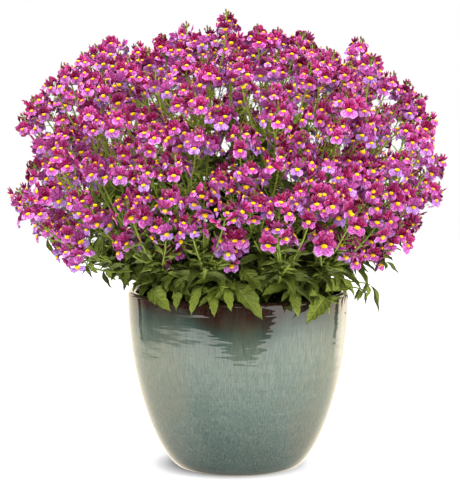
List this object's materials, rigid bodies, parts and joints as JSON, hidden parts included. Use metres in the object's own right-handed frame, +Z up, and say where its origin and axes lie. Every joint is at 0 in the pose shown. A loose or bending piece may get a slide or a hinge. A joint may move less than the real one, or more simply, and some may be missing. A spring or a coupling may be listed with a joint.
{
  "type": "potted nemesia",
  "caption": "Nemesia in full flower: a wide mound of two-lipped magenta flowers on branching leafy stems, planted in a round tapering glazed pot.",
  "frame": {"origin": "centre of the pot's flat base, on the surface that it stands on", "axes": "+Z up along the pot's axis, -Y towards the viewer in the picture, +X to the viewer's right"},
  "size_m": [0.6035, 0.597, 0.6199],
  "materials": {
    "glaze": "glossy running glaze, red-brown at the rim, dark teal below it, then pale grey-green with fine vertical streaks and specks",
    "soil": "moist crumbly potting mix, matt dark brown",
    "foliage": "satin mid green leaves with a lighter midrib, and yellow-green square stems",
    "petals": "velvety petals, deep magenta above and lilac-pink on the lower lip, with a bright yellow palate"
  },
  "bodies": {
    "root": {"pot": "glaze", "soil": "soil", "leafy_stem_1": "foliage", "leafy_stem_2": "foliage", "leafy_stem_3": "foliage", "leafy_stem_4": "foliage", "leafy_stem_5": "foliage", "leafy_stem_6": "foliage", "leafy_stem_7": "foliage", "flower_head_1": "petals", "flower_head_2": "petals", "flower_head_3": "petals", "flower_head_4": "petals", "flower_head_5": "petals", "flower_head_6": "petals", "flower_head_7": "petals", "flower_head_8": "petals", "flower_head_9": "petals", "flower_head_10": "petals", "flower_head_11": "petals", "flower_head_12": "petals", "flower_head_13": "petals", "flower_head_14": "petals", "flower_head_15": "petals", "flower_head_16": "petals", "flower_head_17": "petals", "flower_head_18": "petals", "flower_head_19": "petals", "flower_head_20": "petals", "flower_head_21": "petals", "flower_head_22": "petals", "flower_head_23": "petals", "flower_head_24": "petals", "flower_head_25": "petals", "flower_head_26": "petals", "flower_head_27": "petals", "flower_head_28": "petals", "flower_head_29": "petals", "flower_head_30": "petals", "flower_head_31": "petals", "flower_head_32": "petals", "flower_head_33": "petals", "flower_head_34": "petals", "flower_head_35": "petals", "flower_head_36": "petals", "flower_head_37": "petals", "flower_head_38": "petals", "flower_head_39": "petals", "flower_head_40": "petals", "flower_head_41": "petals", "flower_head_42": "petals", "flower_head_43": "petals", "flower_head_44": "petals", "flower_head_45": "petals", "flower_head_46": "petals", "flower_head_47": "petals", "flower_head_48": "petals", "flower_head_49": "petals"}
  },
  "joints": []
}
